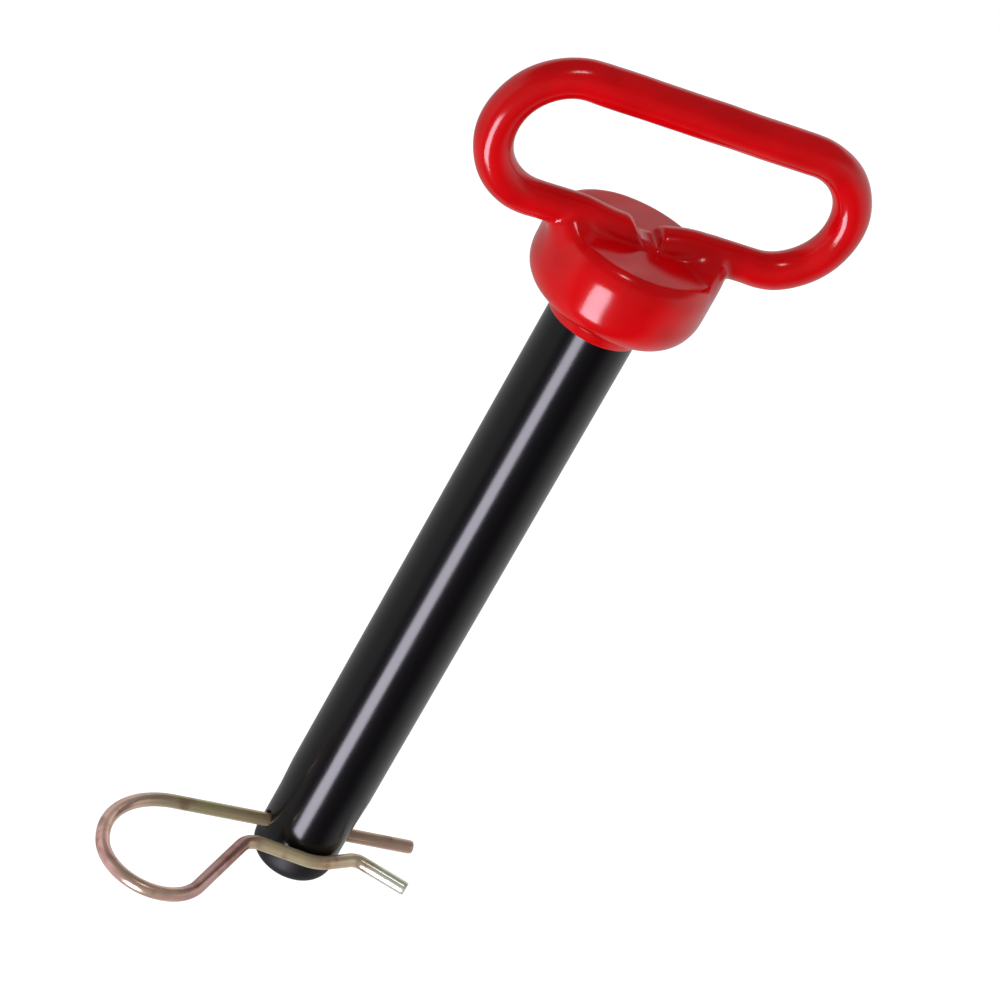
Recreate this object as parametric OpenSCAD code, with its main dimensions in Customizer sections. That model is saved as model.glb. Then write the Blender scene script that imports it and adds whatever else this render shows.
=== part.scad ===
// Hitch pin with a coated grip handle and a spring-wire retaining clip.
// Millimetres, +Z up. The origin is on the pin's axis, at the lower edge of
// the grip's coating, where the bare shank begins. The handle's bars run
// along X, and the shank hangs down along -Z.

/* [Shank] */
// Diameter of the bare shank
shank_d = 22.2; // [16:0.1:28]
// From the coating's lower edge down to the middle of the cross hole
hole_down = 164.4; // [80:0.1:260]
// From the middle of the cross hole to the end of the pin
tip_below_hole = 11.7; // [8:0.1:20]
// Radius that rounds the end of the pin
tip_round = 5; // [2:0.1:7]
// Height above the cross hole at which the slimmer nose of the pin begins
nose_above = 3.5; // [3.3:0.1:8]
// How much slimmer the nose is, on the radius
nose_in = 0.3; // [0.2:0.05:0.6]
// Clearance of the clip's wire in the cross hole, on the diameter
hole_gap = 0.7; // [0.4:0.1:2]
// Depth of the small chamfer at each mouth of the cross hole
hole_chamfer = 0.8; // [0.3:0.1:1.2]
// Turn of the cross hole away from the handle's bars, in degrees
hole_turn = 3; // [-45:1:45]

/* [Head] */
// Widest diameter of the forged head
head_d = 41.4; // [36:0.1:56]
// Diameter of the flat top of the head
head_flat_d = 36.2; // [30:0.1:40]
// Diameter at the foot of the head's rounded underside
under_d = 31.8; // [28:0.1:38]
// Height of the head's flat top above the origin
head_top = 22.8; // [18:0.1:34]
// Height of the rounded rim, from the flat top down to the straight side
rim_h = 6.4; // [1:0.1:8]
// Height of the straight side
side_h = 3.8; // [0.5:0.1:10]
// Height of the head's rounded underside
under_h = 6; // [2:0.1:7.2]
// Width of the small fillet where the head meets the shank
neck_fillet = 1.2; // [0.5:0.1:2]
// Taper of the neck inside the coating's lip, on the radius
neck_taper = 0.3; // [0.1:0.05:0.4]

/* [Handle] */
// Diameter of the handle's steel rod
rod_d = 7; // [5:0.1:9]
// Spacing of the two bars, centre to centre
bar_spacing = 31.8; // [26:0.1:50]
// Length of the straight part of a bar
bar_straight = 57.2; // [44:0.1:90]
// Depth that the rod is let into the flat top of the head
rod_seat = 0.8; // [0.3:0.1:1.4]
// Gap between the rod's two ends
rod_gap = 8.4; // [5:0.1:10]
// Offset of that gap along the lower bar
rod_gap_at = 0.4; // [-2:0.1:2]
// Length of the taper on the rod's two ends
rod_taper = 1.6; // [0.6:0.1:3]
// How much that taper takes off the rod's radius
rod_taper_in = 1; // [0.5:0.1:1.5]
// Diameter of a weld bead beside the rod
bead_d = 3.6; // [2:0.1:4.5]
// Length of a weld bead
bead_len = 9; // [5:0.1:14]
// From the pin's axis to the middle of each weld bead
bead_at = 11; // [8:0.1:13]

/* [Coating] */
// Thickness of the coating on the head
coat = 0.9; // [0.5:0.1:1.5]
// Thickness of the coating on the lower bar
coat_lower = 0.75; // [0.5:0.05:1.5]
// Thickness of the coating round the bends
coat_bend = 1.1; // [0.5:0.05:2]
// Thickness of the coating on the upper bar
coat_upper = 1.4; // [0.5:0.05:2]
// Length over which the coating changes thickness at a bar's ends
coating_taper = 4; // [2:0.5:8]
// Height of the lip that the coating leaves on the shank
lip_h = 4.3; // [2:0.1:5]
// Thickness of the lip at its lower edge
lip_wall = 0.5; // [0.3:0.05:0.8]

/* [Clip] */
// Diameter of the spring wire
wire_d = 3.5; // [2.5:0.1:4.5]
// From the pin's axis to the sawn end of the straight leg
leg_reach = 30.3; // [22:0.1:45]
// From the pin's axis back to the start of the bow
bow_start = 41.9; // [34:0.1:60]
// Bend radius at the start of the bow
bow_r1 = 14.5; // [10:0.1:20]
// Bend radius at the back of the bow
bow_r2 = 27; // [20:0.1:36]
// Bend radius at the far side of the bow
bow_r3 = 12.1; // [10:0.1:15]
// Turn of the first bend, in degrees
bow_a1 = 54; // [45:1:60]
// Turn of the second bend, in degrees
bow_a2 = 43; // [38:1:50]
// Slope of the spring leg where it runs back to the pin, in degrees
leg_slope = 48.6; // [42:0.1:54]
// Bend radius of the throat before the pin
throat_r = 6; // [4:0.1:8]
// Slope of the wire as it climbs onto the shank, in degrees
climb = 14; // [10:1:22]
// Slope of the wire as it leaves the shank, in degrees
fall = 25; // [18:1:30]
// Straight run after the shank
fall_run = 6.7; // [4:0.1:10]
// Bend radius before the flared end
flare_r = 4; // [3:0.1:8]
// Slope of the flared end, in degrees
flare = 32; // [20:1:45]
// Straight length of the flared end
flare_len = 12.6; // [6:0.1:18]
// Clearance between the spring leg and the nose of the pin
snap_gap = 0.2; // [0.2:0.05:0.4]

/* [Hidden] */
$fn = 64;

shank_r = shank_d / 2;
rod_r = rod_d / 2;
wire_r = wire_d / 2;
hole_r = wire_r + hole_gap / 2;
head_r = head_d / 2;
flat_r = head_flat_d / 2;
under_r = under_d / 2;
bar_half = bar_straight / 2;
bend_r = bar_spacing / 2;
end_r = rod_r - rod_taper_in;
arc_step = 15;

// A die mark at each joint in the wire: a shallow band that joins one
// stretch of wire to the next across a hairline.
band_r = wire_r + 0.1;
band_w = 0.6;
hairline = 0.1;

pin_end = -hole_down - tip_below_hole;
side_top = head_top - rim_h;
side_foot = side_top - side_h;
under_foot = side_foot - under_h;
nose_r = shank_r - nose_in;
nose_z = -hole_down + nose_above;
lower_bar_z = head_top - rod_seat + rod_r;
upper_bar_z = lower_bar_z + bar_spacing;

// The waist of the spring leg is one arc about the pin's axis.
waist_r = nose_r + snap_gap + wire_r;

// Each step of the wire is [straight length, bend radius, turn to the left].
bow_turn3 = 180 + leg_slope - bow_a1 - bow_a2;
straight_leg = leg_reach + bow_start;
back_steps = [[0, bow_r1, bow_a1], [0, bow_r2, bow_a2]];
far_step = [0, bow_r3, bow_turn3];

// Where a bend that starts at point p with heading h comes to an end.
function bend_end(p, h, r, a) =
    p + r * [sin(h + a) - sin(h), cos(h) - cos(h + a)];

back_end = bend_end(bend_end([-bow_start, 0], 180, bow_r1, bow_a1), 180 + bow_a1, bow_r2, bow_a2);
back_heading = 180 + bow_a1 + bow_a2;
far_end = bend_end(back_end, back_heading, bow_r3, bow_turn3);

// The spring leg meets the tangent line of the waist in a corner, which the
// throat's bend rounds off.
waist_in = waist_r * [-sin(climb), -cos(climb)];
waist_normal = waist_in / waist_r;
leg_dir = [cos(leg_slope), sin(leg_slope)];
leg_to_corner = (waist_r - waist_normal * far_end) / (waist_normal * leg_dir);
corner = far_end + leg_to_corner * leg_dir;
throat_trim = throat_r * tan((leg_slope + climb) / 2);
climb_run = norm(waist_in - corner) - throat_trim;
spring_steps = [far_step,
                [leg_to_corner - throat_trim, throat_r, -(leg_slope + climb)],
                [climb_run, waist_r, climb + fall],
                [fall_run, flare_r, -(fall + flare)],
                [flare_len, 0, 0]];

// Points of a quarter ellipse, from angle 0 to 90 degrees: the first size is
// along X and the second along Y.
function quarter(centre, rx, ry) =
    [for (a = [0 : arc_step : 90]) centre + [rx * sin(a), ry * cos(a)]];

// Outline of the head with a skin of thickness t: rim, side and underside.
function head_outline(t) = concat(
    quarter([flat_r, side_top], head_r - flat_r + t, rim_h + t),
    [for (p = quarter([under_r, side_foot], head_r - under_r + t, under_h + t))
        [under_r + (head_r - under_r + t) * (p[1] - side_foot) / (under_h + t),
         side_foot - (under_h + t) * (p[0] - under_r) / (head_r - under_r + t)]]);

// Outline of the nose and its rounded end, from the shank down to the axis.
function tip_outline() = concat(
    [[shank_r, nose_z], [nose_r, nose_z - nose_in]],
    [for (a = [0 : arc_step : 90])
        [nose_r - tip_round + tip_round * cos(a), pin_end + tip_round - tip_round * sin(a)]]);

// Head and shank as one turned shape, before holes.
module pin_blank() {
    rotate_extrude()
        polygon(concat([[0, head_top]],
                       head_outline(0),
                       [[shank_r + neck_fillet, under_foot - neck_fillet / 3],
                        [shank_r + neck_taper, lip_h],
                        [shank_r, 0]],
                       tip_outline(),
                       [[0, pin_end]]));
}

// Straight bar along X with its middle at x, at height z.
module bar(x, z, length, r) {
    translate([x - length / 2, 0, z]) rotate([0, 90, 0]) cylinder(h = length, r = r);
}

// The two half-round ends of the handle, made of stock of radius r.
module end_bends(r) {
    for (side = [0, 180])
        rotate([0, 0, side])
            translate([bar_half, 0, lower_bar_z + bend_r])
                rotate([90, 0, 0])
                    rotate([0, 0, -90])
                        rotate_extrude(angle = 180)
                            translate([bend_r, 0]) circle(r = r);
}

// The two lengths of lower bar, each to its tapered end at the head, with a
// skin of thickness t. They start at the bends, less a length skip.
module lower_bars(t, skip) {
    for (side = [-1, 1]) {
        run = bar_half - skip - side * rod_gap_at - rod_gap / 2 + t;
        translate([side * (bar_half - skip), 0, lower_bar_z])
            rotate([0, -90 * side, 0]) {
                cylinder(h = run - rod_taper, r = rod_r + t);
                translate([0, 0, run - rod_taper])
                    cylinder(h = rod_taper, r1 = rod_r + t, r2 = end_r + t);
            }
    }
}

// Weld bead beside the rod: side is -1 for the left end of the rod and 1
// for the right, face is -1 for the front of the rod and 1 for the back.
module bead(side, face, r) {
    translate([0, face * (rod_r + bead_d / 8), 0])
        bar(side * bead_at, head_top, bead_len, r);
}

module all_beads(r) {
    for (side = [-1, 1], face = [-1, 1]) bead(side, face, r);
}

// Tapers at the ends of a bar's coating, from thickness t to the bends' own.
module coating_tapers(z, t) {
    for (side = [0, 180])
        rotate([0, 0, side])
            translate([bar_half - coating_taper, 0, z])
                rotate([0, 90, 0])
                    cylinder(h = coating_taper, r1 = rod_r + t, r2 = rod_r + coat_bend);
}

// The band at a joint, centred on the wire where it heads along +X.
module band() {
    translate([-band_w / 2, 0, 0]) rotate([0, 90, 0]) cylinder(h = band_w, r = band_r);
}

// One straight and one bend of wire for each step, end to end along +X.
module wire(steps, k = 0) {
    run = steps[k][0];
    r = steps[k][1];
    turn = steps[k][2];
    way = sign(turn);
    more = k < len(steps) - 1;
    start = k > 0 ? hairline : 0;
    stop = turn != 0 ? hairline : 0;
    if (run > 0) {
        translate([start, 0, 0]) rotate([0, 90, 0]) cylinder(h = run - start - stop, r = wire_r);
        if (turn != 0) translate([run, 0, 0]) band();
    }
    if (turn != 0) {
        lead = k > 0 || run > 0 ? hairline / r * 180 / PI : 0;
        tail = more ? hairline / r * 180 / PI : 0;
        translate([run, way * r, 0]) {
            rotate([0, 0, way > 0 ? lead - 90 : 90 + turn + tail])
                rotate_extrude(angle = abs(turn) - lead - tail)
                    translate([r, 0]) circle(r = wire_r);
            if (more)
                rotate([0, 0, turn]) translate([0, -way * r, 0]) {
                    band();
                    wire(steps, k + 1);
                }
        }
    }
}

// The clip lies in one plane through the cross hole.
module at_hole() {
    translate([0, 0, -hole_down]) rotate([0, 0, hole_turn]) children();
}

module forged_pin() {
    color("#1a191c") difference() {
        pin_blank();
        lower_bars(0, 0);
        at_hole() rotate([0, 90, 0]) {
            cylinder(h = shank_d + 2, r = hole_r, center = true);
            for (side = [0, 180])
                rotate([side, 0, 0])
                    translate([0, 0, nose_r - hole_chamfer])
                        cylinder(h = 2 * hole_chamfer, r1 = hole_r, r2 = hole_r + 2 * hole_chamfer);
        }
    }
}

module handle_rod() {
    color("#8c8c90") union() {
        lower_bars(0, 0);
        end_bends(rod_r);
        bar(0, upper_bar_z, bar_straight, rod_r);
    }
}

module weld(side, face) {
    color("#75757a") difference() {
        bead(side, face, bead_d / 2);
        pin_blank();
        lower_bars(0, 0);
    }
}

module weld_left_front() weld(-1, -1);

module weld_left_back() weld(-1, 1);

module weld_right_front() weld(1, -1);

module weld_right_back() weld(1, 1);

module grip_coating() {
    color("#c8101a") difference() {
        union() {
            rotate_extrude()
                polygon(concat([[0, head_top + coat]],
                               head_outline(coat),
                               [[shank_r + neck_fillet, lip_h],
                                [shank_r + lip_wall, lip_wall],
                                [shank_r + lip_wall / 2, 0],
                                [0, 0]]));
            lower_bars(coat_lower, coating_taper);
            coating_tapers(lower_bar_z, coat_lower);
            bar(0, upper_bar_z, bar_straight - 2 * coating_taper, rod_r + coat_upper);
            coating_tapers(upper_bar_z, coat_upper);
            end_bends(rod_r + coat_bend);
            all_beads(bead_d / 2 + coat);
        }
        pin_blank();
        lower_bars(0, 0);
        end_bends(rod_r);
        bar(0, upper_bar_z, bar_straight, rod_r);
        all_beads(bead_d / 2);
    }
}

module clip_straight_leg() {
    color("#c9b77c") at_hole()
        translate([leg_reach, 0, 0]) rotate([0, 0, 180]) wire([[straight_leg, 0, 0]]);
}

module clip_bow() {
    color("#c9907c") at_hole()
        translate([-bow_start, 0, 0]) rotate([0, 0, 180]) wire(back_steps);
}

module clip_spring_leg() {
    color("#cfc58e") at_hole()
        translate(back_end) rotate([0, 0, back_heading]) wire(spring_steps);
}

forged_pin();
handle_rod();
weld_left_front();
weld_left_back();
weld_right_front();
weld_right_back();
grip_coating();
clip_straight_leg();
clip_bow();
clip_spring_leg();
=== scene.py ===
"""Looks of a hitch pin: black coated shank, red dipped grip handle and a zinc-plated hairpin clip.

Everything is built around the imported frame, in its own coordinates: the pin's axis is Z, the
handle's bars run along X, and the origin lies on the axis at the coating's lower edge.
Sizes in the classes are in millimetres and become metres as each mesh is made.
"""

import logging
import math
from dataclasses import dataclass, field
from enum import Enum
from typing import Any, Callable

import bmesh
import bpy
import numpy as np
from mathutils import Matrix, Vector


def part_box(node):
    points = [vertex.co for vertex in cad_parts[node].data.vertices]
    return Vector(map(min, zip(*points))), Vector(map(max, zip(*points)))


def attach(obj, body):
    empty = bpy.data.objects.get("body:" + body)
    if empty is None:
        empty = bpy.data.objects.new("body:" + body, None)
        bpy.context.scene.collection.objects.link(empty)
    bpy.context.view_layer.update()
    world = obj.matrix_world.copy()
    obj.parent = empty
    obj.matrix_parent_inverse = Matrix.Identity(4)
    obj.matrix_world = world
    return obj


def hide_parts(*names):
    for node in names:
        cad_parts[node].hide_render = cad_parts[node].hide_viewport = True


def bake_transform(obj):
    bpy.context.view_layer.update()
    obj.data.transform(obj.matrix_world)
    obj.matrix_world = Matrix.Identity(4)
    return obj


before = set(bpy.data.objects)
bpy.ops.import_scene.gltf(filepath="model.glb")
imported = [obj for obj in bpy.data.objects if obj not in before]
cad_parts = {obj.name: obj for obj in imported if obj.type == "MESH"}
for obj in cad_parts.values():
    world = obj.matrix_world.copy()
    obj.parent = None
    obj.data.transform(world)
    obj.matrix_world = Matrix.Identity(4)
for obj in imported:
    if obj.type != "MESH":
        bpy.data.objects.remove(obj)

MM = 0.001
log = logging.getLogger("hitch_pin")

Array = np.ndarray
Point = tuple[float, float, float]
Outline = list[tuple[float, float]]
Tints = tuple[tuple[float, str], ...]


# ---------------------------------------------------------------- small helpers


def linear(hex_colour: str) -> tuple[float, float, float, float]:
    """Turn an sRGB hex colour into the linear values that shaders take.

    Args:
        hex_colour: a colour such as "#c4000a".

    Returns:
        Linear red, green, blue and an alpha of 1.
    """
    parts = [int(hex_colour[i : i + 2], 16) / 255 for i in (1, 3, 5)]
    lin = [c / 12.92 if c <= 0.04045 else ((c + 0.055) / 1.055) ** 2.4 for c in parts]
    return (*lin, 1.0)


def add_node(
    tree: bpy.types.NodeTree,
    kind: str,
    settings: dict[str, Any] | None = None,
    links: dict[Any, Any] | None = None,
) -> bpy.types.Node:
    """Add a node to a tree, with its settings and incoming links.

    Args:
        tree: the node tree that gets the node.
        kind: the node's type name.
        settings: property names, or ("in", socket) for a socket's own value.
        links: socket names or numbers, each with the output socket that feeds it.

    Returns:
        The new node.
    """
    node = tree.nodes.new(kind)
    for key, value in (settings or {}).items():
        if isinstance(key, tuple):
            node.inputs[key[1]].default_value = value
        else:
            setattr(node, key, value)
    for socket, source in (links or {}).items():
        tree.links.new(source, node.inputs[socket])
    return node


def new_material(name: str) -> tuple[bpy.types.Material, bpy.types.NodeTree]:
    """Make a material with an empty node tree and return both."""
    material = bpy.data.materials.new(name)
    material.use_nodes = True
    material.node_tree.nodes.clear()
    return material, material.node_tree


def ramp(
    tree: bpy.types.NodeTree, factor: bpy.types.NodeSocket, stops: list[tuple[float, Any]]
) -> bpy.types.NodeSocket:
    """Add a colour ramp.

    Args:
        tree: the node tree.
        factor: what drives the ramp.
        stops: place and linear colour of each stop.

    Returns:
        The ramp's colour output.
    """
    node = add_node(tree, "ShaderNodeValToRGB", links={"Fac": factor})
    elements = node.color_ramp.elements
    while len(elements) < len(stops):
        elements.new(0.5)
    for element, (place, colour) in zip(elements, stops):
        element.position = place
        element.color = colour
    return node.outputs["Color"]


def grey(value: float) -> tuple[float, float, float, float]:
    """A linear grey of the given level."""
    return (value, value, value, 1.0)


def mesh_object(name: str, mesh: bpy.types.Mesh) -> bpy.types.Object:
    """Put a mesh in the scene as an object at the origin."""
    obj = bpy.data.objects.new(name, mesh)
    bpy.context.scene.collection.objects.link(obj)
    return obj


def mesh_from_arrays(name: str, points: Array, quads: Array) -> bpy.types.Mesh:
    """Make a smooth mesh of quads.

    Args:
        name: the mesh's name.
        points: one row of metres for each vertex.
        quads: one row of four vertex numbers for each face.

    Returns:
        The mesh, with all faces shaded smooth.
    """
    mesh = bpy.data.meshes.new(name)
    mesh.vertices.add(len(points))
    mesh.vertices.foreach_set("co", points.astype(np.float32).ravel())
    mesh.loops.add(quads.size)
    mesh.loops.foreach_set("vertex_index", quads.astype(np.int32).ravel())
    mesh.polygons.add(len(quads))
    mesh.polygons.foreach_set("loop_start", np.arange(0, quads.size, 4, dtype=np.int32))
    mesh.update(calc_edges=True)
    mesh.validate()
    mesh.shade_smooth()
    return mesh


def lathe(outline: Outline, steps: int, turn: Matrix = Matrix.Identity(4)) -> bpy.types.Mesh:
    """Turn an outline about the Z axis into a closed mesh.

    Args:
        outline: radius and height of each point in millimetres, from axis to axis.
        steps: how many faces go round.
        turn: a placing in millimetres, applied to the finished shape.

    Returns:
        The closed mesh in metres, with faces outwards.
    """
    shape = bmesh.new()
    rings = []
    for r, z in outline:
        if r < 1e-6:
            rings.append([shape.verts.new((0, 0, z))] * steps)
            continue
        angles = (2 * math.pi * k / steps for k in range(steps))
        rings.append([shape.verts.new((r * math.cos(a), r * math.sin(a), z)) for a in angles])
    for upper, lower in zip(rings, rings[1:]):
        for k in range(steps):
            corners = [upper[k], lower[k], lower[(k + 1) % steps], upper[(k + 1) % steps]]
            face = list(dict.fromkeys(corners))
            if len(face) > 2:
                shape.faces.new(face)
    shape.transform(Matrix.Scale(MM, 4) @ turn)
    bmesh.ops.recalc_face_normals(shape, faces=shape.faces)
    mesh = bpy.data.meshes.new("lathe")
    shape.to_mesh(mesh)
    shape.free()
    mesh.shade_smooth()
    return mesh


def smooth_min(a: Array, b: Array, k: float) -> Array:
    """Join two distance fields with a fillet about k wide."""
    h = np.clip(0.5 + 0.5 * (b - a) / k, 0, 1)
    return b + (a - b) * h - k * h * (1 - h)


def smooth_max(a: Array, b: Array, k: float) -> Array:
    """Cut one distance field by another with an edge rounded about k wide."""
    return -smooth_min(-a, -b, k)


def sweep_tree() -> bpy.types.GeometryNodeTree:
    """The node tree that sweeps round wire along a curve, with its sizes as named inputs."""
    tree = bpy.data.node_groups.new("wire_sweep", "GeometryNodeTree")
    face = tree.interface
    face.new_socket("Path", in_out="INPUT", socket_type="NodeSocketGeometry")
    face.new_socket("Wire radius", in_out="INPUT", socket_type="NodeSocketFloat")
    face.new_socket("Sides", in_out="INPUT", socket_type="NodeSocketInt")
    face.new_socket("Finish", in_out="INPUT", socket_type="NodeSocketMaterial")
    face.new_socket("Wire", in_out="OUTPUT", socket_type="NodeSocketGeometry")
    given = add_node(tree, "NodeGroupInput").outputs
    along = add_node(tree, "GeometryNodeSplineParameter").outputs["Length"]
    marked = add_node(
        tree,
        "GeometryNodeStoreNamedAttribute",
        {"data_type": "FLOAT", "domain": "POINT", ("in", "Name"): "along"},
        {"Geometry": given["Path"], "Value": along},
    ).outputs["Geometry"]
    ring = add_node(
        tree,
        "GeometryNodeCurvePrimitiveCircle",
        links={"Resolution": given["Sides"], "Radius": given["Wire radius"]},
    ).outputs["Curve"]
    around = add_node(tree, "GeometryNodeSplineParameter").outputs["Factor"]
    ring = add_node(
        tree,
        "GeometryNodeStoreNamedAttribute",
        {"data_type": "FLOAT", "domain": "POINT", ("in", "Name"): "around"},
        {"Geometry": ring, "Value": around},
    ).outputs["Geometry"]
    thickness = add_node(tree, "GeometryNodeInputRadius").outputs["Radius"]
    swept = add_node(
        tree,
        "GeometryNodeCurveToMesh",
        {("in", "Fill Caps"): True},
        {"Curve": marked, "Profile Curve": ring, "Scale": thickness},
    ).outputs["Mesh"]
    real = add_node(tree, "GeometryNodeRealizeInstances", links={"Geometry": swept}).outputs["Geometry"]
    done = add_node(
        tree, "GeometryNodeSetMaterial", links={"Geometry": real, "Material": given["Finish"]}
    ).outputs["Geometry"]
    add_node(tree, "NodeGroupOutput", links={"Wire": done})
    return tree


def swept(name: str, points: Array, radii: Array, radius: float, sides: int, finish: bpy.types.Material) -> bpy.types.Object:
    """Sweep a round bar along a row of points.

    Args:
        name: the object's name.
        points: one row of millimetres for each point of the centreline.
        radii: the share of the radius at each point.
        radius: the bar's radius in millimetres.
        sides: how many faces go round.
        finish: the bar's material.

    Returns:
        The bar as one closed mesh object.
    """
    curve = bpy.data.curves.new(name, "CURVE")
    curve.dimensions = "3D"
    spline = curve.splines.new("POLY")
    spline.points.add(len(points) - 1)
    for point, place, share in zip(spline.points, points, radii):
        point.co = (*(Vector(place) * MM), 1)
        point.radius = share
    path = bpy.data.objects.new(name, curve)
    bpy.context.scene.collection.objects.link(path)
    sweep = path.modifiers.new("round_sweep", "NODES")
    sweep.node_group = sweep_tree()
    values = {"Wire radius": radius * MM, "Sides": sides, "Finish": finish}
    for item in sweep.node_group.interface.items_tree:
        if item.name in values:
            sweep[item.identifier] = values[item.name]
    bar = bpy.data.meshes.new_from_object(path.evaluated_get(bpy.context.evaluated_depsgraph_get()))
    bpy.data.objects.remove(path)
    bar.shade_smooth()
    bar.set_sharp_from_angle(angle=math.radians(40))
    return mesh_object(name, bar)


def dress(obj: bpy.types.Object, material: bpy.types.Material) -> None:
    """Give every slot of an object one material."""
    if not obj.data.materials:
        obj.data.materials.append(material)
    for number in range(len(obj.data.materials)):
        obj.data.materials[number] = material


# ---------------------------------------------------------------- finishes


@dataclass(frozen=True)
class DippedVinyl:
    """Plastisol: liquid vinyl that the heated head and handle were dipped in, then cured."""

    base: str = "#d10008"
    deep: str = "#c20006"
    ripple_mm: float = 9.0
    ripple_height_mm: float = 0.05

    def build(self) -> bpy.types.Material:
        """Build the glossy red skin, a little uneven where the liquid ran."""
        material, tree = new_material("dipped_vinyl_plastisol")
        place = add_node(tree, "ShaderNodeTexCoord").outputs["Object"]
        # Liquid vinyl pools a little, so the red is slightly deeper in soft patches.
        pools = add_node(
            tree,
            "ShaderNodeTexNoise",
            {("in", "Scale"): 1 / (self.ripple_mm * MM), ("in", "Detail"): 1.0},
            {"Vector": place},
        ).outputs["Fac"]
        red = ramp(tree, pools, [(0.35, linear(self.deep)), (0.65, linear(self.base))])
        # Slow ripples bend the reflections, as on any dipped skin.
        bump = add_node(
            tree,
            "ShaderNodeBump",
            {("in", "Strength"): 0.5, ("in", "Distance"): self.ripple_height_mm * MM},
            {"Height": pools},
        ).outputs["Normal"]
        shader = add_node(
            tree,
            "ShaderNodeBsdfPrincipled",
            {
                ("in", "Roughness"): 0.16,
                ("in", "IOR"): 1.53,
                ("in", "Subsurface Weight"): 0.0,
            },
            {"Base Color": red, "Normal": bump},
        )
        add_node(tree, "ShaderNodeOutputMaterial", links={"Surface": shader.outputs[0]})
        return material


@dataclass(frozen=True)
class ElectroCoat:
    """Black cathodic electro-coat over forged steel: thin, glossy, with a faint warm tint."""

    base: str = "#0b090b"
    speck: str = "#3a343a"
    speck_mm: float = 1.6
    peel_mm: float = 1.1
    dull_below: float = -167.0

    def build(self) -> bpy.types.Material:
        """Build the black coat, with the fine peel that softens its highlights."""
        material, tree = new_material("black_electro_coat")
        place = add_node(tree, "ShaderNodeTexCoord").outputs["Object"]
        cells = add_node(
            tree,
            "ShaderNodeTexVoronoi",
            {("in", "Scale"): 1 / (self.speck_mm * MM)},
            {"Vector": place},
        ).outputs["Distance"]
        # Dust that was caught in the wet coat shows as a few pale pinpoints.
        dust = ramp(tree, cells, [(0.0, linear(self.speck)), (0.035, linear(self.base))])
        peel = add_node(
            tree,
            "ShaderNodeTexNoise",
            {("in", "Scale"): 1 / (self.peel_mm * MM), ("in", "Detail"): 2.0},
            {"Vector": place},
        ).outputs["Fac"]
        bump = add_node(
            tree,
            "ShaderNodeBump",
            {("in", "Strength"): 0.35, ("in", "Distance"): 0.008 * MM},
            {"Height": peel},
        ).outputs["Normal"]
        # Handling wears the gloss unevenly along the shank.
        rub = add_node(
            tree,
            "ShaderNodeTexNoise",
            {("in", "Scale"): 1 / (22 * MM), ("in", "Detail"): 3.0},
            {"Vector": place},
        ).outputs["Fac"]
        gloss = add_node(
            tree,
            "ShaderNodeMapRange",
            {("in", "To Min"): 0.16, ("in", "To Max"): 0.22},
            {"Value": rub},
        ).outputs["Result"]
        # The nose scrapes through its bores, which leaves it dull.
        scuff = add_node(
            tree,
            "ShaderNodeMapRange",
            {
                ("in", "From Min"): (self.dull_below - 1.5) * MM,
                ("in", "From Max"): (self.dull_below + 1.5) * MM,
                ("in", "To Min"): 0.34,
                ("in", "To Max"): 0.0,
            },
            {"Value": add_node(tree, "ShaderNodeSeparateXYZ", links={"Vector": place}).outputs["Z"]},
        ).outputs["Result"]
        rough = add_node(
            tree, "ShaderNodeMath", {"operation": "ADD"}, {0: gloss, 1: scuff}
        ).outputs[0]
        shader = add_node(
            tree,
            "ShaderNodeBsdfPrincipled",
            {("in", "IOR"): 1.5},
            {"Base Color": dust, "Roughness": rough, "Normal": bump},
        )
        add_node(tree, "ShaderNodeOutputMaterial", links={"Surface": shader.outputs[0]})
        return material


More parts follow.
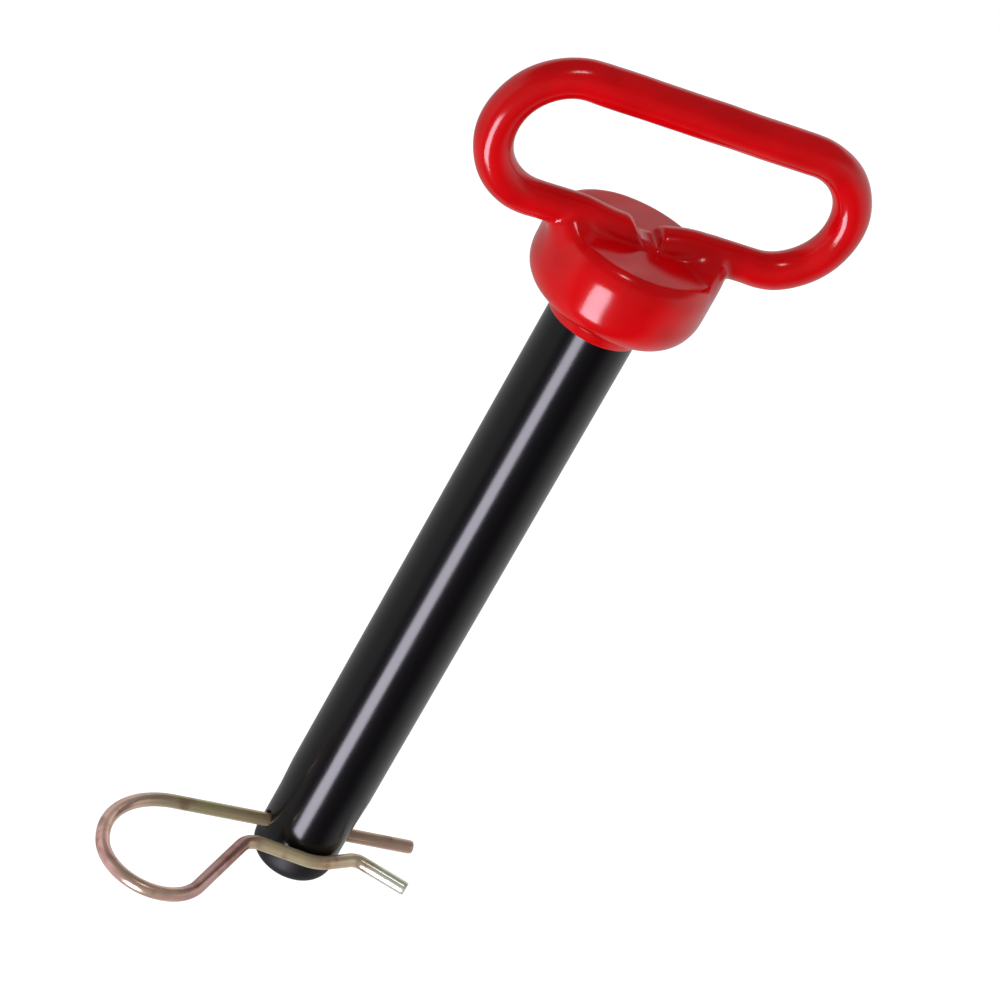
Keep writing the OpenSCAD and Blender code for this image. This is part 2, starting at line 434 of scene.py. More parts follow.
@dataclass(frozen=True)
class YellowZinc:
    """Zinc-plated spring wire with a yellow chromate, whose film shifts from gold to pink and green."""

    # Each stop is the wire's colour at that place, so its lightness holds painted highlight and shade as well as the
    # film's own hue.
    straight: Tints = (
        (-58, "#fac8bc"),
        (-48, "#f3d0c2"),
        (-42, "#cbb498"),
        (-30, "#c6be90"),
        (-14, "#c9b68e"),
        (14, "#d3b298"),
        (26, "#dcbca4"),
    )
    sprung: Tints = (
        (-58, "#fac8bc"),
        (-50, "#d4b69c"),
        (-43, "#f5ccb4"),
        (-36, "#cda29a"),
        (-19, "#c09088"),
        (-13, "#e2d0a4"),
        (-3, "#e4d6a8"),
        (6, "#d8b898"),
        (14, "#e2d6b4"),
        (20, "#f4f7e0"),
    )
    from_x: float = -60.0
    to_x: float = 30.0
    stain: str = "#8e564c"

    def build(self) -> bpy.types.Material:
        """Build the satin film, tinted along the wire with the film's hue and with painted highlight and shade, and
        stained in a few soft patches.
        """
        material, tree = new_material("yellow_chromated_zinc")
        place = add_node(tree, "ShaderNodeTexCoord").outputs["Object"]
        apart = add_node(tree, "ShaderNodeSeparateXYZ", links={"Vector": place})
        cloud = add_node(
            tree,
            "ShaderNodeTexNoise",
            {("in", "Scale"): 1 / (6 * MM), ("in", "Detail"): 1.0},
            {"Vector": place},
        ).outputs["Fac"]
        # The film's hue follows its thickness, which drifts along the wire with the way it drained; the lightness of
        # the tints is painted highlight and shade, copied from lit and shaded spots along the wire.
        drift = add_node(
            tree,
            "ShaderNodeMapRange",
            {("in", "To Min"): -7 * MM, ("in", "To Max"): 7 * MM},
            {"Value": cloud},
        ).outputs["Result"]
        along = add_node(
            tree, "ShaderNodeMath", {"operation": "ADD"}, {0: apart.outputs["X"], 1: drift}
        ).outputs[0]
        share = add_node(
            tree,
            "ShaderNodeMapRange",
            {("in", "From Min"): self.from_x * MM, ("in", "From Max"): self.to_x * MM},
            {"Value": along},
        ).outputs["Result"]
        side = add_node(
            tree,
            "ShaderNodeMapRange",
            {("in", "From Min"): -5 * MM, ("in", "From Max"): -9 * MM},
            {"Value": apart.outputs["Y"]},
        ).outputs["Result"]
        tint = add_node(
            tree,
            "ShaderNodeMix",
            {"data_type": "RGBA"},
            {"Factor": side, "A": self.tints(tree, share, self.straight), "B": self.tints(tree, share, self.sprung)},
        ).outputs["Result"]
        # Thicker film dries to a maroon stain in a few places.
        spots = add_node(
            tree,
            "ShaderNodeTexNoise",
            {("in", "Scale"): 1 / (4.5 * MM), ("in", "Detail"): 1.0},
            {"Vector": place},
        ).outputs["Fac"]
        thick = ramp(tree, spots, [(0.28, grey(0.5)), (0.42, grey(0.0))])
        stained = add_node(
            tree,
            "ShaderNodeMix",
            {"data_type": "RGBA", ("in", "B"): linear(self.stain)},
            {"Factor": thick, "A": tint},
        ).outputs["Result"]
        # The chromate scatters light as well as letting the metal shine through, so it looks satin.
        shader = add_node(
            tree,
            "ShaderNodeBsdfPrincipled",
            {("in", "Metallic"): 0.65, ("in", "Roughness"): 0.24},
            {"Base Color": stained},
        )
        add_node(tree, "ShaderNodeOutputMaterial", links={"Surface": shader.outputs[0]})
        return material

    def tints(
        self, tree: bpy.types.NodeTree, share: bpy.types.NodeSocket, stops: Tints
    ) -> bpy.types.NodeSocket:
        """Lay a row of tints along the wire: the film's hue, with painted highlight and shade in their lightness.

        Args:
            tree: the material's tree.
            share: how far along X the point is, from 0 to 1.
            stops: height along X in millimetres and sRGB colour of each tint.

        Returns:
            The tint at the point.
        """
        reach = self.to_x - self.from_x
        return ramp(tree, share, [((x - self.from_x) / reach, linear(colour)) for x, colour in stops])


@dataclass(frozen=True)
class BareSteel:
    """Bare mild steel under the coating: drawn bar or a weld bead, dull and slightly scaled."""

    name: str
    base: str
    roughness: float
    grain_mm: float

    def build(self) -> bpy.types.Material:
        """Build the dull metal, mottled at the grain's scale."""
        material, tree = new_material(self.name)
        place = add_node(tree, "ShaderNodeTexCoord").outputs["Object"]
        grain = add_node(
            tree,
            "ShaderNodeTexNoise",
            {("in", "Scale"): 1 / (self.grain_mm * MM), ("in", "Detail"): 3.0},
            {"Vector": place},
        ).outputs["Fac"]
        rough = add_node(
            tree,
            "ShaderNodeMapRange",
            {("in", "To Min"): self.roughness - 0.1, ("in", "To Max"): self.roughness + 0.1},
            {"Value": grain},
        ).outputs["Result"]
        shader = add_node(
            tree,
            "ShaderNodeBsdfPrincipled",
            {("in", "Metallic"): 1.0, ("in", "Base Color"): linear(self.base)},
            {"Roughness": rough},
        )
        add_node(tree, "ShaderNodeOutputMaterial", links={"Surface": shader.outputs[0]})
        return material


class Slot(Enum):
    """The record's material slots."""

    SHANK = "black_coated_steel"
    ROD = "handle_steel"
    WELD = "weld_metal"
    GRIP = "red_dip_coating"
    CLIP = "zinc_wire"


# ---------------------------------------------------------------- the pin


@dataclass
class ForgedPin:
    """The upset head and its shank, one forging, with the drilled cross hole near its nose."""

    shank_r: float = 11.1
    nose_r: float = 10.8
    nose_from: float = -148.0
    end_z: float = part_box("forged_pin")[0].z / MM
    end_round: float = 5.0
    hole_z: float = (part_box("clip_straight_leg")[0].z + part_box("clip_straight_leg")[1].z) / 2 / MM
    hole_r: float = 2.1
    hole_chamfer: float = 0.55
    hole_turn: float = 3.0
    head_r: float = 20.7
    head_flat_r: float = 18.1
    head_top: float = 22.8
    side_top: float = 16.4
    side_foot: float = 12.6
    under_r: float = 15.9
    under_foot: float = 6.6
    steps: int = 160

    def outline(self) -> Outline:
        """Half section from the middle of the head's top down to the middle of the nose."""
        quarter = [math.radians(a) for a in range(0, 91, 10)]
        rim_r = self.head_r - self.head_flat_r
        rim_h = self.head_top - self.side_top
        rim = [(self.head_flat_r + rim_r * math.sin(a), self.side_top + rim_h * math.cos(a)) for a in quarter]
        under_r = self.head_r - self.under_r
        under_h = self.side_foot - self.under_foot
        under = [(self.under_r + under_r * math.cos(a), self.side_foot - under_h * math.sin(a)) for a in quarter]
        bare = [(self.shank_r, z) for z in np.linspace(3.0, self.nose_from, 40)]
        corner_z = self.end_z + self.end_round
        nose = [(self.nose_r, z) for z in np.linspace(self.nose_from - 8, corner_z, 16)]
        centre_r = self.nose_r - self.end_round
        fine = [math.radians(a) for a in range(6, 91, 6)]
        end = [(centre_r + self.end_round * math.cos(a), corner_z - self.end_round * math.sin(a)) for a in fine]
        return [(0, self.head_top), *rim, *under, (12.2, 6.0), *bare, *nose, *end, (0, self.end_z)]

    def hole_cutter(self) -> bpy.types.Mesh:
        """The cross hole as a solid, flared at both mouths."""
        mouth = self.nose_r - self.hole_chamfer
        flare = 2 * self.hole_chamfer
        wide = self.hole_r + flare
        outline = [
            (0, mouth + flare),
            (wide, mouth + flare),
            (self.hole_r, mouth),
            (self.hole_r, -mouth),
            (wide, -mouth - flare),
            (0, -mouth - flare),
        ]
        turn = Matrix.Rotation(math.radians(self.hole_turn), 4, "Z") @ Matrix.Rotation(math.pi / 2, 4, "Y")
        return lathe(outline, 48, Matrix.Translation((0, 0, self.hole_z)) @ turn)

    def build(self) -> bpy.types.Object:
        """Turn the forging and drill its hole.

        Returns:
            The pin as one closed mesh.
        """
        pin = mesh_object("pin_blank", lathe(self.outline(), self.steps))
        cutter = mesh_object("hole_cutter", self.hole_cutter())
        cut = pin.modifiers.new("cross_hole", "BOOLEAN")
        cut.operation = "DIFFERENCE"
        cut.solver = "EXACT"
        cut.object = cutter
        solid = bpy.data.meshes.new_from_object(pin.evaluated_get(bpy.context.evaluated_depsgraph_get()))
        for scrap in (pin, cutter):
            bpy.data.objects.remove(scrap)
        solid.set_sharp_from_angle(angle=math.radians(28))
        return mesh_object("pin_shank", solid)

    def dress(self, obj: bpy.types.Object) -> None:
        """Coat the forging black."""
        dress(obj, ElectroCoat().build())
        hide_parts("forged_pin")
        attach(obj, "pin")


# ---------------------------------------------------------------- the grip


@dataclass
class GripCoating:
    """The red skin over head, handle rod and welds, grown as one distance field and then meshed."""

    cell: float = 0.45
    bar_half: float = 28.6
    bend_r: float = 15.9
    lower_z: float = 25.5
    lower_r: float = 4.25
    end_r: float = 4.6
    upper_r: float = 4.9
    top_z: float = 23.7
    rim_start: float = 30.0
    rim_fullness: float = 3.0
    side_r: float = 21.6
    bulge_from: float = 14.3
    side_top: float = 16.4
    side_foot: float = 12.6
    under_r: float = 15.9
    under_foot: float = 4.7
    crease_r: float = 12.9
    crease_z: float = 3.4
    lip_r: float = 11.65
    edge: float = 0.35
    notch_floor: float = 24.1
    notch_left: float = 0.2
    notch_right: float = 3.3
    left_droop: float = 1.25
    droop_from: float = -18.0
    right_droop: float = 0.27
    bead_at: tuple[float, float] = (17.6, 16.6)
    bead_half: float = 1.2
    bead_y: float = 4.1
    bead_z: float = 22.6
    bead_r: tuple[float, float] = (1.5, 2.4)
    unevenness: float = 0.06
    table: tuple[Array, float, float] = field(init=False)

    def __post_init__(self) -> None:
        """Measure the head's half section once, as a table of distances."""
        self.table = self.head_table(0.1)

    def head_outline(self) -> Outline:
        """Half section of the coated head, inside by the width that rounds its corners."""
        rise = self.top_z - self.side_top
        power = 2 / self.rim_fullness
        height = rise / math.cos(math.radians(self.rim_start)) ** power
        bulge_r = self.side_r - self.bulge_from
        bulge = [
            (self.bulge_from + bulge_r * math.sin(a) ** power, self.side_top + height * abs(math.cos(a)) ** power)
            for a in np.radians(np.arange(self.rim_start, 91, 2.5))
        ]
        under_r = self.side_r - self.under_r
        under_h = self.side_foot - self.under_foot
        under = [
            (self.under_r + under_r * math.cos(a), self.side_foot - under_h * math.sin(a))
            for a in np.radians(np.arange(0, 91, 6))
        ]
        shape = [(0, self.top_z), *bulge, *under, (0, self.crease_z)]
        return [(max(r - self.edge, 0), z - math.copysign(self.edge, z - self.side_top)) for r, z in shape]

    def head_table(self, step: float) -> tuple[Array, float, float]:
        """Signed distance to the head's half section on a grid.

        Args:
            step: the grid's spacing in millimetres.

        Returns:
            The table, its lowest height and its spacing.
        """
        outline = np.array(self.head_outline())
        low = -6.0
        r = np.arange(0, 42, step)
        z = np.arange(low, 60, step)
        grid = np.stack(np.meshgrid(r, z, indexing="ij"), -1)
        nearest = np.full(grid.shape[:2], 1e9)
        inside = np.zeros(grid.shape[:2], bool)
        for a, b in zip(outline, np.roll(outline, -1, 0)):
            span = b - a
            if not span.any():
                continue
            share = np.clip(((grid - a) @ span) / (span @ span), 0, 1)
            away = grid - a - share[..., None] * span
            if max(a[0], b[0]) > 1e-6:
                nearest = np.minimum(nearest, np.hypot(away[..., 0], away[..., 1]))
            if a[1] != b[1]:
                crosses = (a[1] > grid[..., 1]) != (b[1] > grid[..., 1])
                at = a[0] + (grid[..., 1] - a[1]) * span[0] / span[1]
                inside ^= crosses & (grid[..., 0] < at)
        return np.where(inside, -nearest, nearest).astype(np.float32), low, step

    def head(self, radius: Array, z: Array) -> Array:
        """Distance to the coated head, from its table."""
        table, low, step = self.table
        i = np.clip(radius / step, 0, table.shape[0] - 1.001)
        j = np.clip((z - low) / step, 0, table.shape[1] - 1.001)
        i0, j0 = i.astype(int), j.astype(int)
        u, v = i - i0, j - j0
        near = table[i0, j0] * (1 - v) + table[i0, j0 + 1] * v
        far = table[i0 + 1, j0] * (1 - v) + table[i0 + 1, j0 + 1] * v
        return near * (1 - u) + far * u - self.edge

    def lip(self, radius: Array, z: Array) -> Array:
        """Distance to the short lip that the coating leaves on the shank."""
        wall = radius - (self.lip_r + (self.crease_r - self.lip_r) * z / self.crease_z)
        return smooth_max(smooth_max(wall, z - self.crease_z - 3, 0.3), -z, 0.3)

    def loop(self, x: Array, y: Array, z: Array) -> Array:
        """Distance to the coated rod, thin below and thicker at the top, where it hung while curing."""
        middle = self.lower_z + self.bend_r
        z = z + np.where(z < middle, self.droop(x), 0)
        past = np.maximum(np.abs(x) - self.bar_half, 0)
        flat = np.abs(np.hypot(past, z - middle) - self.bend_r)
        height = np.clip((z - middle) / self.bend_r, -1, 1)
        upper = self.end_r + (self.upper_r - self.end_r) * np.clip(height * 2 - 1, 0, 1)
        lower = (self.end_r - self.lower_r) * np.clip(-height * 2 - 1, 0, 1)
        bar = np.clip((self.bar_half + 6 - np.abs(x)) / 8, 0, 1)
        return np.hypot(flat, y) - upper * bar - self.end_r * (1 - bar) + lower * bar

    def droop(self, x: Array) -> Array:
        """How far the lower bar hangs towards the head as it nears its two ends."""
        share = np.clip((x - self.droop_from) / 13, 0, 1)
        left = self.left_droop * share**2 * (3 - 2 * share)
        right = smooth_max(self.right_droop * (10.6 - x), 0 * x, 1.0)
        return np.where(x < 1.5, left, np.minimum(right, 2.0))

    def notch(self, x: Array, z: Array) -> Array:
        """Distance to the dip between the rod's two ends, sloped at the left and upright at the right."""
        left = (self.notch_left - x) * 0.69 - (z - self.notch_floor) * 0.72
        right = (x - self.notch_right) * 0.995 - (z - self.notch_floor) * 0.1
        dip = smooth_max(smooth_max(left, right, 1.2), self.notch_floor - z, 1.4)
        return np.maximum(dip, z - self.lower_z - self.bend_r)

    def bead(self, x: Array, y: Array, z: Array) -> Array:
        """Distance to the coated weld beads where the bar leaves the head, all four at once."""
        at = np.where(x < 0, self.bead_at[0], self.bead_at[1])
        thick = np.where(x < 0, self.bead_r[0], self.bead_r[1])
        along = np.maximum(np.abs(np.abs(x) - at) - self.bead_half, 0)
        return np.sqrt(along**2 + (np.abs(y) - self.bead_y) ** 2 + (z - self.bead_z) ** 2) - thick

    def fillet(self, x: Array) -> Array:
        """Width of the vinyl's fillet between bar and head, which widens towards the rim."""
        wide = np.where(x < 0, 0.4 * (-x - 5.0), 0.62 * (x - 5.6))
        past = np.clip((np.abs(x) - 18) / 6, 0, 1)
        return np.clip(wide, 1.0, 6.8) * (1 - 0.5 * past)

    def distance(self, x: Array, y: Array, z: Array) -> Array:
        """Distance to the whole skin: negative inside, in millimetres."""
        radius = np.hypot(x, y)
        head = smooth_min(self.head(radius, z), self.lip(radius, z), 1.6)
        bars = smooth_max(self.loop(x, y, z), -self.notch(x, z), 1.0)
        bars = smooth_min(bars, self.bead(x, y, z), 3.0)
        skin = smooth_min(head, bars, self.fillet(x))
        wave = np.sin(x * 0.31 + 1.7 * np.sin(y * 0.23)) * np.sin(z * 0.37 + 0.9 * np.sin(x * 0.19)) * np.cos(y * 0.29)
        return np.maximum(skin + self.unevenness * (1.1 + wave), -z)

    def build(self) -> bpy.types.Object:
        """Mesh the skin where its distance is zero.

        Returns:
            The coating as one closed mesh.
        """
        low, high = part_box("grip_coating")
        start = np.array(low) / MM - 2 * self.cell
        count = ((np.array(high) - np.array(low)) / MM / self.cell + 5).astype(int)
        axes = [start[k] + self.cell * np.arange(count[k]) for k in range(3)]
        grid = np.meshgrid(*(a.astype(np.float32) for a in axes), indexing="ij")
        field_values = self.distance(*grid)
        cells, quads = surface_nets(field_values)
        points = start + cells * self.cell
        points = pulled_to_zero(self.distance, points, 0.05, 4)
        return mesh_object("grip_skin", mesh_from_arrays("grip_skin", points * MM, quads))

    def dress(self, obj: bpy.types.Object) -> None:
        """Give the skin its red vinyl."""
        dress(obj, DippedVinyl().build())
        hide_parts("grip_coating")
        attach(obj, "pin")


def surface_nets(values: Array) -> tuple[Array, Array]:
    """Find the zero surface of a field on a grid.

    Args:
        values: the field at each grid point, negative inside.

    Returns:
        One point for each crossed cell, in cells, and the quads that join them, facing outwards.
    """
    inside = values < 0
    corners = [(i, j, k) for i in (0, 1) for j in (0, 1) for k in (0, 1)]
    size = np.array(values.shape) - 1

    def shifted(source: Array, corner: tuple[int, int, int]) -> Array:
        """The source as seen from every cell's given corner."""
        return source[tuple(slice(c, c + n) for c, n in zip(corner, size))]

    count = sum(shifted(inside, c).astype(np.int8) for c in corners)
    cells = np.argwhere((count > 0) & (count < 8))
    number = np.full(size, -1, np.int64)
    number[tuple(cells.T)] = np.arange(len(cells))
    total = np.zeros((len(cells), 3))
    hits = np.zeros(len(cells))
    for a in corners:
        for axis in range(3):
            if a[axis]:
                continue
            b = tuple(1 if k == axis else a[k] for k in range(3))
            va = values[tuple((cells + a).T)]
            vb = values[tuple((cells + b).T)]
            crossed = (va < 0) != (vb < 0)
            share = np.where(crossed, va / np.where(va == vb, 1, va - vb), 0)
            point = np.array(a) + share[:, None] * (np.array(b) - a)
            total += point * crossed[:, None]
            hits += crossed
    points = cells + total / hits[:, None]
    quads = []
    for axis in range(3):
        u, v = (axis + 1) % 3, (axis + 2) % 3
        ahead = tuple(slice(1, None) if k == axis else slice(None) for k in range(3))
        behind = tuple(slice(None, -1) if k == axis else slice(None) for k in range(3))
        edges = np.argwhere(inside[ahead] != inside[behind])
        edges = edges[(edges[:, u] > 0) & (edges[:, v] > 0)]
        edges = edges[(edges[:, u] < size[u]) & (edges[:, v] < size[v])]
        ring = []
        for du, dv in ((0, 0), (-1, 0), (-1, -1), (0, -1)):
            step = np.zeros(3, int)
            step[u], step[v] = du, dv
            ring.append(number[tuple((edges + step).T)])
        ring = np.stack(ring, 1)
        leaves = inside[tuple(edges.T)]
        ring[~leaves] = ring[~leaves][:, ::-1]
        quads.append(ring)
    return points, np.concatenate(quads)


def pulled_to_zero(
    distance: Callable[[Array, Array, Array], Array], points: Array, reach: float, rounds: int
) -> Array:
    """Move points along the field's slope until they lie on its zero surface.

    Args:
        distance: the field.
        points: one row for each point.
        reach: half the span over which the slope is measured.
        rounds: how many steps to take.

    Returns:
        The moved points.
    """
    points = points.copy()
    for _ in range(rounds):
        slope = np.zeros_like(points)
        for axis in range(3):
            step = np.zeros(3)
            step[axis] = reach
            slope[:, axis] = distance(*(points + step).T) - distance(*(points - step).T)
        slope /= 2 * reach
        size = np.maximum((slope**2).sum(1), 0.2)
        points -= slope * (distance(*points.T) / size)[:, None]
    return points


# ---------------------------------------------------------------- the clip


@dataclass
class SpringClip:
    """The hairpin clip: one wire, straight through the pin and back round it in a sprung waist."""

    wire_r: float = (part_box("clip_straight_leg")[1].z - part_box("clip_straight_leg")[0].z) / 2 / MM
    plane_z: float = ForgedPin.hole_z - 0.3
    turn: float = 3.15
    leg_reach: float = 30.3
    bow_start: float = 36.2
    bow: tuple[tuple[float, float], ...] = ((22.6, 45.2), (21.9, 39.0))
    far_r: float = 13.4
    leg_slope: float = 50.4
    throat_r: float = 6.0
    waist_r: float = 10.8 + 0.2 + 1.75
    climb: float = 14.0
    fall: float = 20.6
    fall_run: float = 6.7
    flare_r: float = 4.0
    flare: float = 32.0
    flare_len: float = 12.6
    spacing: float = 0.6
    sides: int = 28

    def centreline(self) -> Array:
        """Points along the wire in the clip's own plane, from the straight leg's end to the flare's."""
        spot = np.array([self.leg_reach, 0.0])
        heading = 180.0
        points = [spot]

        def straight(length: float) -> None:
            """Run on straight."""
            nonlocal spot
            count = max(2, int(length / self.spacing))
            way = np.array([math.cos(math.radians(heading)), math.sin(math.radians(heading))])
            points.extend(spot + way * length * k / count for k in range(1, count + 1))
            spot = points[-1]

        def bend(radius: float, angle: float) -> None:
            """Turn to the left by an angle, or to the right by a negative one."""
            nonlocal spot, heading
            way = math.copysign(1, angle)
            h = math.radians(heading)
            centre = spot + way * radius * np.array([-math.sin(h), math.cos(h)])
            count = max(4, int(radius * math.radians(abs(angle)) / self.spacing))
            for k in range(1, count + 1):
                a = h + math.radians(angle) * k / count
                points.append(centre + way * radius * np.array([math.sin(a), -math.cos(a)]))
            spot = points[-1]
            heading += angle

        straight(self.leg_reach + self.bow_start)
        for radius, angle in self.bow:
            bend(radius, angle)
        bend(self.far_r, 360 + self.leg_slope - heading)
        slope, climb = math.radians(self.leg_slope), math.radians(self.climb)
        waist_in = self.waist_r * np.array([-math.sin(climb), -math.cos(climb)])
        normal = waist_in / self.waist_r
        way = np.array([math.cos(slope), math.sin(slope)])
        to_corner = (self.waist_r - normal @ spot) / (normal @ way)
        corner = spot + to_corner * way
        trim = self.throat_r * math.tan((slope + climb) / 2)
        straight(to_corner - trim)
        bend(self.throat_r, -(self.leg_slope + self.climb))
        straight(float(np.linalg.norm(waist_in - corner)) - trim)
        bend(self.waist_r, self.climb + self.fall)
        straight(self.fall_run)
        bend(self.flare_r, -(self.fall + self.flare))
        straight(self.flare_len)
        return np.array(points)

    def build(self) -> bpy.types.Object:
        """Sweep the wire along its path, eased in at both ends for a sheared edge.

        Returns:
            The clip as one closed mesh.
        """
        turn = Matrix.Rotation(math.radians(self.turn), 3, "Z")
        points = np.array([turn @ Vector((x, y, self.plane_z)) for x, y in self.centreline()])
        radii = np.ones(len(points))
        radii[[0, -1]] = 0.93
        return swept("clip_wire", points, radii, self.wire_r, self.sides, YellowZinc().build())

    def dress(self, obj: bpy.types.Object) -> None:
        """Hide the clip's pieces in the frame and bake the wire's placing into its mesh."""
        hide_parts("clip_straight_leg", "clip_bow", "clip_spring_leg")
        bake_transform(obj)


# ---------------------------------------------------------------- hidden steel


@dataclass
class HandleSteel:
    """The rod and the weld beads inside the grip, which the coating hides."""

    rod_r: float = (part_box("handle_rod")[1].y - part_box("handle_rod")[0].y) / 2 / MM
    gap_half: float = 4.2
    taper: float = 7.0
    end_share: float = 0.62
    sag: float = 1.2
    weld_y: float = 3.55
    weld_z: float = 22.8
    weld_r: float = 1.0

    def centreline(self) -> Array:
        """The rod's middle line, from one end round the handle to the other."""
        grip = GripCoating()
        middle = grip.lower_z + grip.bend_r
        arc = np.radians(np.arange(-88, 89, 4))
        round_end = np.stack([grip.bar_half + grip.bend_r * np.cos(arc), middle + grip.bend_r * np.sin(arc)], 1)
        lower = [(x, grip.lower_z) for x in np.linspace(self.gap_half, grip.bar_half, 24)]
        upper = [(x, middle + grip.bend_r) for x in np.linspace(grip.bar_half, 0, 12)]
        half = np.array([*lower, *round_end, *upper])
        flat = np.concatenate([half, half[-2::-1] * (-1, 1)])
        return np.stack([flat[:, 0], 0 * flat[:, 0], flat[:, 1]], 1)

    def build(self) -> bpy.types.Object:
        """Sweep the rod, with its two ends forged down towards the head.

        Returns:
            The rod as one closed mesh.
        """
        points = self.centreline()
        count = len(points)
        run = np.abs(points[:, 0]) - self.gap_half
        ends = np.minimum(np.arange(count), np.arange(count)[::-1]) < 24
        share = np.where(ends, np.clip(run / self.taper, 0, 1), 1)
        points[:, 2] -= self.sag * (1 - share)
        radii = self.end_share + (1 - self.end_share) * share
        rod = BareSteel("cold_drawn_rod", "#8f8f93", 0.38, 1.5).build()
        return swept("rod_steel", points, radii, self.rod_r, 24, rod)

    def dress(self, obj: bpy.types.Object) -> None:
        """Put the rod in its node's place, and give the welds a dull finish of their own."""
        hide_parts("handle_rod")
        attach(obj, "pin")
        weld = BareSteel("weld_bead", "#6f7075", 0.5, 0.6).build()
        for name in [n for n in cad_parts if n.startswith("weld_")]:
            self.weld_bead(name, weld)

    def weld_bead(self, node: str, finish: bpy.types.Material) -> None:
        """Lay one low weld bead between rod and head, in its node's place.

        Args:
            node: the weld's node in the frame.
            finish: the bead's material.
        """
        low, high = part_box(node)
        middle = (low + high) / 2 / MM
        along = np.linspace(-1, 1, 15)
        points = np.stack([middle.x + math.copysign(1.5, middle.x) + along * 2.6, 0 * along, 0 * along], 1)
        points[:, 1:] = (math.copysign(self.weld_y, middle.y), self.weld_z)
        radii = np.sqrt(np.clip(1.06 - along**2, 0.05, 1))
        bead = swept(f"{node}_bead", points, radii, self.weld_r, 16, finish)
        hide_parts(node)
        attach(bead, "pin")


# ---------------------------------------------------------------- the studio


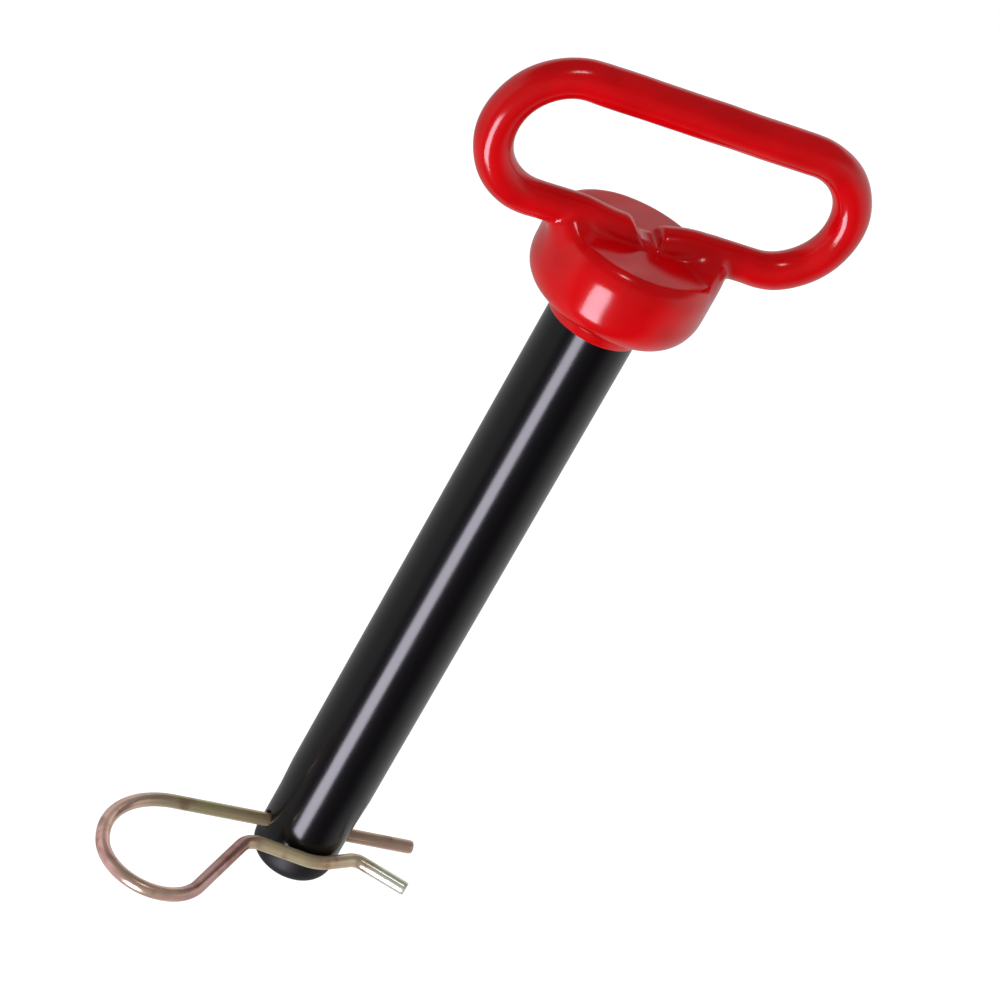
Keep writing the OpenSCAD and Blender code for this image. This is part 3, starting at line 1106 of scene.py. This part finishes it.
@dataclass
class Studio:
    """A white room with one tall soft box, a small lamp overhead and a tent of grey walls."""

    floor_z: float = -1.15
    key_azimuth: float = -34.0
    key_elevation: float = -29.0
    key_distance: float = 0.8
    key_size: tuple[float, float] = (0.3, 0.62)
    key_watts: float = 6.3
    target: Point = (0.0, 0.0, -0.08)
    tent_r: float = 1.05
    wall_levels: tuple[tuple[float, float], ...] = (
        (-180, 0.44),
        (-143, 0.42),
        (-124, 0.37),
        (-108, 0.32),
        (-80, 0.32),
        (-66, 0.06),
        (-10, 0.09),
        (18, 0.03),
        (30, 0.02),
        (42, 0.12),
        (54, 0.3),
        (70, 0.42),
        (90, 0.6),
        (120, 0.6),
        (150, 0.44),
        (180, 0.44),
    )
    height_share: tuple[tuple[float, float], ...] = (
        (0.0, 0.8),
        (0.3, 1.0),
        (0.52, 1.3),
        (0.72, 1.5),
        (0.83, 0.15),
        (1.0, 0.08),
    )

    def white_for_eye(self, tree: bpy.types.NodeTree) -> bpy.types.NodeSocket:
        """1 for camera, glossy and transmission rays, and 0 for the rays that light the object."""
        path = add_node(tree, "ShaderNodeLightPath").outputs
        both = add_node(
            tree,
            "ShaderNodeMath",
            {"operation": "MAXIMUM"},
            {0: path["Is Camera Ray"], 1: path["Is Glossy Ray"]},
        ).outputs[0]
        return add_node(
            tree, "ShaderNodeMath", {"operation": "MAXIMUM"}, {0: both, 1: path["Is Transmission Ray"]}
        ).outputs[0]

    def world(self) -> None:
        """White to the eye, and a plain grey level of light on the object."""
        world = bpy.data.worlds.new("studio")
        bpy.context.scene.world = world
        world.use_nodes = True
        tree = world.node_tree
        tree.nodes.clear()
        level = add_node(
            tree,
            "ShaderNodeMapRange",
            {("in", "To Min"): 0.62, ("in", "To Max"): 1.0},
            {"Value": self.white_for_eye(tree)},
        ).outputs["Result"]
        shader = add_node(tree, "ShaderNodeBackground", links={"Strength": level})
        shader.inputs["Color"].default_value = grey(1.0)
        add_node(tree, "ShaderNodeOutputWorld", links={"Surface": shader.outputs[0]})

    def floor(self) -> None:
        """A pale floor well below the pin, white to the eye apart from the pin's soft shadow."""
        mesh = bpy.data.meshes.new("floor")
        reach = 3.0
        corners = [(-reach, -reach), (reach, -reach), (reach, reach), (-reach, reach)]
        mesh.from_pydata([(x, y, self.floor_z) for x, y in corners], [], [(0, 1, 2, 3)])
        obj = mesh_object("floor", mesh)
        material, tree = new_material("pale_paper_sweep")
        paper = add_node(
            tree,
            "ShaderNodeBsdfPrincipled",
            {("in", "Base Color"): grey(0.45), ("in", "Roughness"): 0.9},
        )
        glow = add_node(
            tree,
            "ShaderNodeEmission",
            {("in", "Color"): grey(1.0)},
            {"Strength": add_node(
                tree,
                "ShaderNodeMath",
                {"operation": "MULTIPLY", ("in", 1): 0.8},
                {0: self.white_for_eye(tree)},
            ).outputs[0]},
        )
        both = add_node(tree, "ShaderNodeAddShader", links={0: paper.outputs[0], 1: glow.outputs[0]})
        add_node(tree, "ShaderNodeOutputMaterial", links={"Surface": both.outputs[0]})
        dress(obj, material)

    def tent(self) -> None:
        """The studio's walls, which only reflections see: dark in front and overhead, pale behind."""
        shell = bmesh.new()
        bmesh.ops.create_uvsphere(shell, u_segments=48, v_segments=24, radius=self.tent_r)
        bmesh.ops.translate(shell, verts=shell.verts, vec=self.target)
        mesh = bpy.data.meshes.new("studio_tent")
        shell.to_mesh(mesh)
        shell.free()
        mesh.shade_smooth()
        obj = mesh_object("studio_tent", mesh)
        material, tree = new_material("grey_tent_cloth")
        place = add_node(tree, "ShaderNodeTexCoord").outputs["Object"]
        middle = add_node(
            tree,
            "ShaderNodeVectorMath",
            {"operation": "SUBTRACT", ("in", 1): self.target},
            {0: place},
        ).outputs["Vector"]
        way = add_node(tree, "ShaderNodeVectorMath", {"operation": "NORMALIZE"}, {0: middle}).outputs["Vector"]
        apart = add_node(tree, "ShaderNodeSeparateXYZ", links={"Vector": way}).outputs
        ahead = add_node(
            tree, "ShaderNodeMath", {"operation": "MULTIPLY", ("in", 1): -1.0}, {0: apart["Y"]}
        ).outputs[0]
        azimuth = add_node(
            tree, "ShaderNodeMath", {"operation": "ARCTAN2"}, {0: apart["X"], 1: ahead}
        ).outputs[0]
        turn = add_node(
            tree,
            "ShaderNodeMapRange",
            {("in", "From Min"): -math.pi, ("in", "From Max"): math.pi},
            {"Value": azimuth},
        ).outputs["Result"]
        rise = add_node(
            tree, "ShaderNodeMapRange", {("in", "From Min"): -1.0, ("in", "From Max"): 1.0}, {"Value": apart["Z"]}
        ).outputs["Result"]
        walls = ramp(tree, turn, [(around / 360 + 0.5, grey(level)) for around, level in self.wall_levels])
        shade = ramp(tree, rise, [(place, grey(level)) for place, level in self.height_share])
        level = add_node(
            tree, "ShaderNodeMix", {"data_type": "RGBA", "blend_type": "MULTIPLY", ("in", "Factor"): 1.0},
            {"A": walls, "B": shade},
        ).outputs["Result"]
        glow = add_node(tree, "ShaderNodeEmission", {("in", "Strength"): 1.0}, {"Color": level})
        add_node(tree, "ShaderNodeOutputMaterial", links={"Surface": glow.outputs[0]})
        dress(obj, material)
        obj.visible_camera = False
        obj.visible_diffuse = False
        obj.visible_shadow = False
        obj.visible_transmission = False

    def lamp(
        self,
        name: str,
        azimuth: float,
        elevation: float,
        distance: float,
        size: tuple[float, float],
        watts: float,
        colour: str = "#ffffff",
    ) -> None:
        """A rectangular soft box aimed at the middle of the object.

        Args:
            name: the lamp's name.
            azimuth: direction from the object in degrees, where 0 is -Y and 90 is +X.
            elevation: degrees above the horizon.
            distance: metres from the object.
            size: width and height in metres.
            watts: its power.
            colour: its sRGB colour.
        """
        data = bpy.data.lights.new(name, "AREA")
        data.shape = "RECTANGLE"
        data.size, data.size_y = size
        data.energy = watts
        data.color = linear(colour)[:3]
        obj = bpy.data.objects.new(name, data)
        bpy.context.scene.collection.objects.link(obj)
        a, e = math.radians(azimuth), math.radians(elevation)
        away = Vector((math.sin(a) * math.cos(e), -math.cos(a) * math.cos(e), math.sin(e)))
        obj.location = Vector(self.target) + away * distance
        obj.rotation_euler = away.to_track_quat("Z", "Y").to_euler()

    def camera(self) -> None:
        """A long lens that looks down on the pin, rolled so that the pin leans to the right."""
        data = bpy.data.cameras.new("camera")
        data.sensor_width = 36
        data.lens = 128.27
        data.clip_start = 0.05
        obj = bpy.data.objects.new("camera", data)
        bpy.context.scene.collection.objects.link(obj)
        azimuth, elevation, roll = (math.radians(a) for a in (-26.963, 29.711, -29.784))
        distance = 0.85069
        aim = Vector((0.00283, 0.00159, -0.05526))
        back = Vector(
            (
                math.sin(azimuth) * math.cos(elevation),
                -math.cos(azimuth) * math.cos(elevation),
                math.sin(elevation),
            )
        )
        up = (Vector((0, 0, 1)) - back * back.z).normalized()
        side = up.cross(back)
        up_rolled = up * math.cos(roll) + side * math.sin(roll)
        side_rolled = up_rolled.cross(back)
        place = Matrix((side_rolled, up_rolled, back)).transposed().to_4x4()
        place.translation = aim + back * distance
        obj.matrix_world = place
        bpy.context.scene.camera = obj

    def build(self) -> None:
        """Set the room, its lamps and the camera."""
        self.world()
        self.floor()
        self.lamp(
            "key_box",
            self.key_azimuth,
            self.key_elevation,
            self.key_distance,
            self.key_size,
            self.key_watts,
            "#f2eeff",
        )
        self.lamp("top_spot", -15.0, 70.0, 0.8, (0.1, 0.1), 0.32)
        self.tent()
        self.camera()
        view = bpy.context.scene.view_settings
        view.view_transform = "Standard"


# ---------------------------------------------------------------- all of it


def main() -> None:
    """Build the hitch pin's visible pieces, dress them and set the studio."""
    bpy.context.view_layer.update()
    Studio().build()
    for part in (ForgedPin(), GripCoating(), SpringClip(), HandleSteel()):
        piece = part.build()
        part.dress(piece)
        log.info("%s: %d faces", piece.name, len(piece.data.polygons))


if __name__ == "__main__":
    logging.basicConfig(level=logging.INFO, format="%(message)s")
    main()
